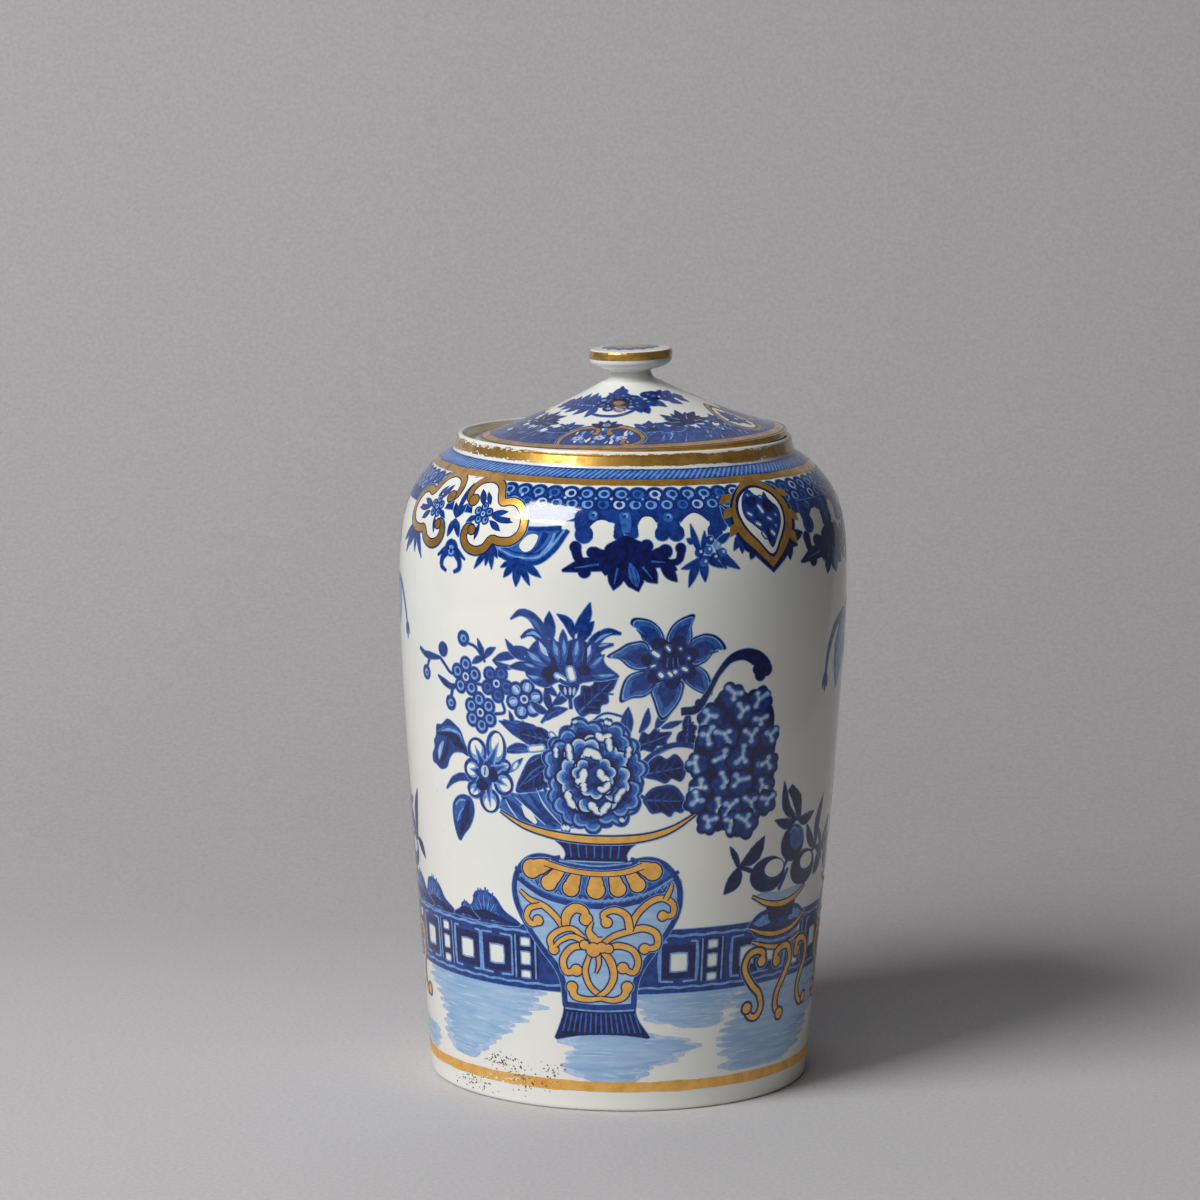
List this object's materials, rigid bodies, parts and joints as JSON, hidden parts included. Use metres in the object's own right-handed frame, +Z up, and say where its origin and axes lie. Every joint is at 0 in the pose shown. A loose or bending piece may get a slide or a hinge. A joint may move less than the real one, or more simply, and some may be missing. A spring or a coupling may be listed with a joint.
{
  "type": "lidded porcelain jar",
  "caption": "Upright shouldered storage jar with a loose low domed lid and disc knob, for keeping dry goods such as tea or pot-pourri.",
  "frame": {"origin": "centre of the foot ring, on the plane that the jar stands on", "axes": "+Z up along the jar's axis; -Y towards someone who faces the printed front; +X to their right"},
  "size_m": [0.0856, 0.0856, 0.14],
  "materials": {
    "glazed_porcelain": "white fired clay under a clear glossy glaze; opaque",
    "underglaze_blue": "cobalt transfer print under the clear glaze; opaque",
    "gilding": "thin fired gold over the glaze, worn at the lip"
  },
  "bodies": {
    "jar": {"jar_body": "glazed_porcelain"},
    "cover": {"lid": "glazed_porcelain", "lid_knob": "glazed_porcelain"}
  },
  "joints": [
    {"name": "lid_lift", "type": "slide", "parent": "jar", "child": "cover", "axis": [0, 0, 1], "range_m": [0, 0.04]}
  ]
}
